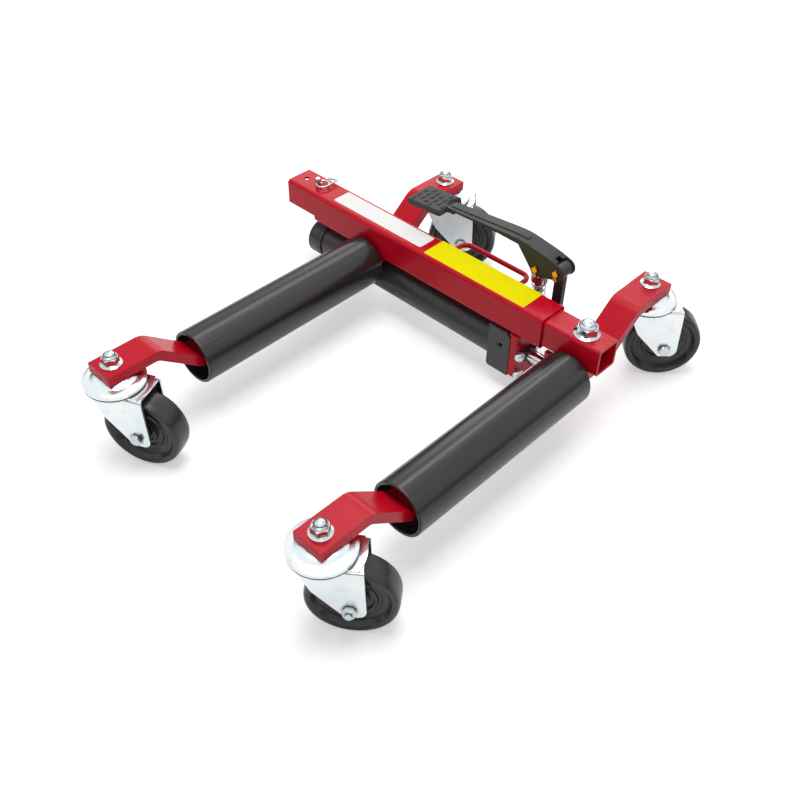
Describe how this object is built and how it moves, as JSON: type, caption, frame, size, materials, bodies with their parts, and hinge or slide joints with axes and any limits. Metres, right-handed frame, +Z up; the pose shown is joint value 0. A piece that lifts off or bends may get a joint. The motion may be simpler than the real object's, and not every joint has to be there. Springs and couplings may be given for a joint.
{
  "type": "vehicle positioning jack",
  "caption": "Foot-pumped wheel dolly: two rollers on a telescoping hydraulic beam close under a tyre and lift it, on swivel casters at the corners.",
  "frame": {"origin": "middle of the footprint box, on the floor", "axes": "+X along the sliding beam toward the moving roller, -Y along the rollers away from the beam, +Z up"},
  "size_m": [0.5842, 0.6679, 0.188],
  "materials": {
    "paint_red": "gloss powder coat",
    "bright_zinc": "bright zinc plate",
    "black_coat": "satin powder coat",
    "plug_steel": "blackened steel",
    "chrome_rod": "hard chrome",
    "spring_steel": "bright spring wire",
    "yellow_zinc": "yellow passivated zinc",
    "roller_coat": "satin dark powder coat",
    "bush_plastic": "black nylon",
    "wheel_plastic": "black moulded nylon",
    "pad_rubber": "moulded rubber"
  },
  "bodies": {
    "frame": {"outer_tube": "paint_red", "ram_mount_plate": "paint_red", "carry_handle": "paint_red", "fixed_axle": "paint_red", "fixed_front_arm": "paint_red", "fixed_back_arm": "paint_red", "fixed_kingpins": "bright_zinc", "fixed_kingpin_nuts": "bright_zinc", "fixed_swivel_caps": "bright_zinc", "ram_cylinder": "black_coat", "ram_end_cap": "black_coat", "pump_block": "black_coat", "socket_plug": "plug_steel", "block_bolts": "bright_zinc", "rod_gland": "black_coat", "pump_barrel": "black_coat", "link_pin": "yellow_zinc"},
    "slider": {"inner_tube": "paint_red", "spacer_plate": "paint_red", "moving_axle": "paint_red", "moving_front_arm": "paint_red", "moving_back_arm": "paint_red", "moving_kingpins": "bright_zinc", "moving_kingpin_nuts": "bright_zinc", "moving_swivel_caps": "bright_zinc", "ram_rod": "chrome_rod", "piston": "chrome_rod", "rod_lug": "paint_red", "rod_nut": "bright_zinc", "slider_bolt": "bright_zinc", "slider_nut": "bright_zinc"},
    "fixed_roller": {"fixed_roller": "roller_coat", "fixed_roller_bushes": "bush_plastic"},
    "moving_roller": {"moving_roller": "roller_coat", "moving_roller_bushes": "bush_plastic"},
    "front_fixed_fork": {"front_fixed_fork": "bright_zinc", "front_fixed_axle_bolt": "bright_zinc"},
    "front_fixed_wheel": {"front_fixed_wheel": "wheel_plastic"},
    "front_moving_fork": {"front_moving_fork": "bright_zinc", "front_moving_axle_bolt": "bright_zinc"},
    "front_moving_wheel": {"front_moving_wheel": "wheel_plastic"},
    "back_fixed_fork": {"back_fixed_fork": "bright_zinc", "back_fixed_axle_bolt": "bright_zinc"},
    "back_fixed_wheel": {"back_fixed_wheel": "wheel_plastic"},
    "back_moving_fork": {"back_moving_fork": "bright_zinc", "back_moving_axle_bolt": "bright_zinc"},
    "back_moving_wheel": {"back_moving_wheel": "wheel_plastic"},
    "link": {"pump_link": "black_coat", "lever_pin": "yellow_zinc"},
    "pedal": {"pedal_lever": "black_coat", "pad_plate": "black_coat", "foot_pad": "pad_rubber"},
    "plunger": {"pump_plunger": "chrome_rod", "spring_cup": "chrome_rod", "plunger_head": "black_coat", "head_pin": "yellow_zinc", "return_spring": "spring_steel"},
    "release": {"release_valve": "black_coat"},
    "stop_pin": {"stop_pin": "chrome_rod", "pin_clip": "bright_zinc"}
  },
  "joints": [
    {"name": "beam_slide", "type": "slide", "parent": "frame", "child": "slider", "axis": [1, 0, 0], "range_m": [-0.015, 0.19]},
    {"name": "fixed_roller_spin", "type": "hinge", "parent": "frame", "child": "fixed_roller", "pos_m": [-0.13, 0, 0.083], "axis": [0, 1, 0], "continuous": true},
    {"name": "moving_roller_spin", "type": "hinge", "parent": "slider", "child": "moving_roller", "pos_m": [0.22, 0, 0.083], "axis": [0, 1, 0], "continuous": true},
    {"name": "front_fixed_swivel", "type": "hinge", "parent": "frame", "child": "front_fixed_fork", "pos_m": [-0.13, -0.298, 0.11], "axis": [0, 0, 1], "continuous": true},
    {"name": "front_fixed_wheel_spin", "type": "hinge", "parent": "front_fixed_fork", "child": "front_fixed_wheel", "pos_m": [-0.10281, -0.28532, 0.05], "axis": [-0.4226, 0.9063, 0], "continuous": true},
    {"name": "front_moving_swivel", "type": "hinge", "parent": "slider", "child": "front_moving_fork", "pos_m": [0.22, -0.298, 0.11], "axis": [0, 0, 1], "continuous": true},
    {"name": "front_moving_wheel_spin", "type": "hinge", "parent": "front_moving_fork", "child": "front_moving_wheel", "pos_m": [0.24396, -0.27995, 0.05], "axis": [-0.6018, 0.7986, 0], "continuous": true},
    {"name": "back_fixed_swivel", "type": "hinge", "parent": "frame", "child": "back_fixed_fork", "pos_m": [-0.13, 0.269, 0.11], "axis": [0, 0, 1], "continuous": true},
    {"name": "back_fixed_wheel_spin", "type": "hinge", "parent": "back_fixed_fork", "child": "back_fixed_wheel", "pos_m": [-0.10543, 0.28621, 0.05], "axis": [-0.5736, 0.8192, 0], "continuous": true},
    {"name": "back_moving_swivel", "type": "hinge", "parent": "slider", "child": "back_moving_fork", "pos_m": [0.22, 0.269, 0.11], "axis": [0, 0, 1], "continuous": true},
    {"name": "back_moving_wheel_spin", "type": "hinge", "parent": "back_moving_fork", "child": "back_moving_wheel", "pos_m": [0.24194, 0.28946, 0.05], "axis": [-0.682, 0.7314, 0], "continuous": true},
    {"name": "link_rock", "type": "hinge", "parent": "frame", "child": "link", "pos_m": [0.143, 0.181, 0.07], "axis": [0, -1, 0], "range_deg": [0, 1.9]},
    {"name": "pedal_press", "type": "hinge", "parent": "link", "child": "pedal", "pos_m": [0.143, 0.181, 0.165], "axis": [0, -1, 0], "range_deg": [0, 13], "stiffness_Nm_per_rad": 4, "springref_deg": -17.19},
    {"name": "plunger_slide", "type": "slide", "parent": "frame", "child": "plunger", "axis": [0, 0, 1], "range_m": [-0.008, 0], "deforming": ["return_spring"]},
    {"name": "release_turn", "type": "hinge", "parent": "frame", "child": "release", "pos_m": [0.104, 0.197, 0.06], "axis": [0, 1, 0], "range_deg": [0, 180]},
    {"name": "stop_pin_lift", "type": "slide", "parent": "frame", "child": "stop_pin", "axis": [0, 0, 1], "range_m": [0, 0.03]}
  ],
  "couplings": [
    {"joint": "link_rock", "follows": "pedal_press", "ratio": 0.142},
    {"joint": "plunger_slide", "follows": "pedal_press", "m_per_rad": -0.0344}
  ]
}
